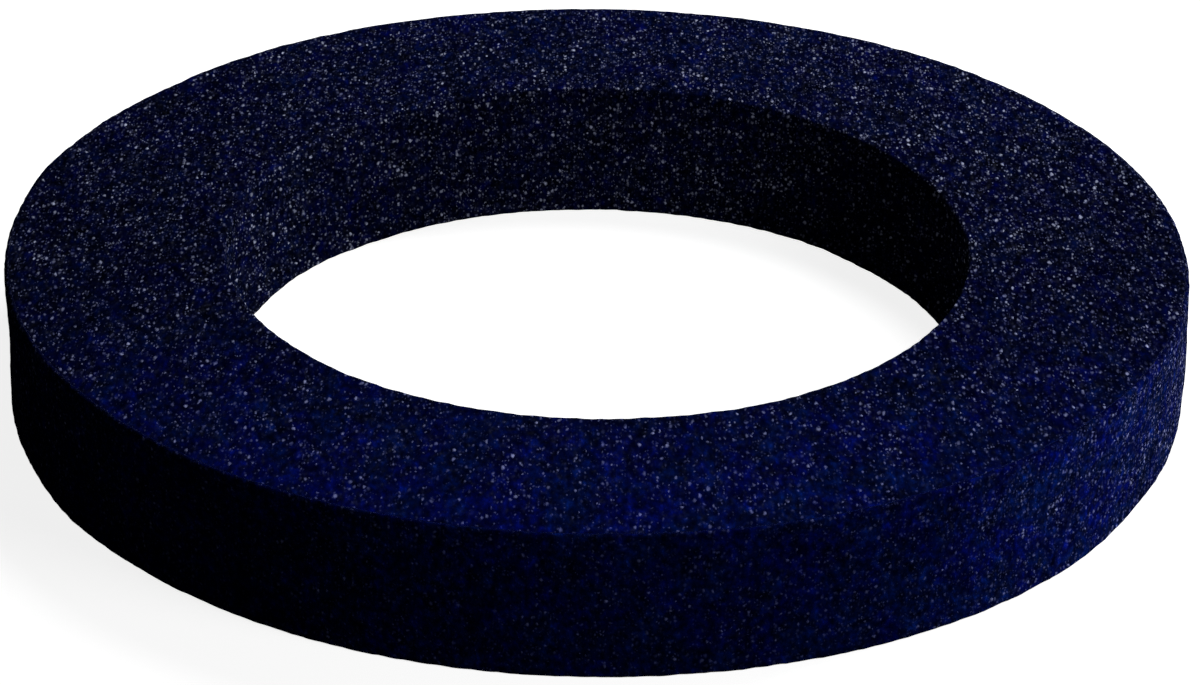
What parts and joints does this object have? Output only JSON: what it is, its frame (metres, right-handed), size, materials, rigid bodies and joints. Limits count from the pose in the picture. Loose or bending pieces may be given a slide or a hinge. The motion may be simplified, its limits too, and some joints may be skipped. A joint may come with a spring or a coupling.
{
  "type": "toilet gasket",
  "caption": "Flat round washer of dark closed-cell sponge that seals the joint between a toilet pan and a close-coupled cistern.",
  "frame": {"origin": "centre of the bore on the lower face, which the washer lies on", "axes": "+Z along the bore, from the lower face to the upper face; X and Y are any two directions across the ring"},
  "size_m": [0.1, 0.1, 0.0125],
  "materials": {
    "cut_sponge": "matt dark navy closed-cell sponge with open cut cells on its faces and on its knife-cut walls"
  },
  "bodies": {
    "root": {"sponge_ring": "cut_sponge"}
  },
  "joints": []
}
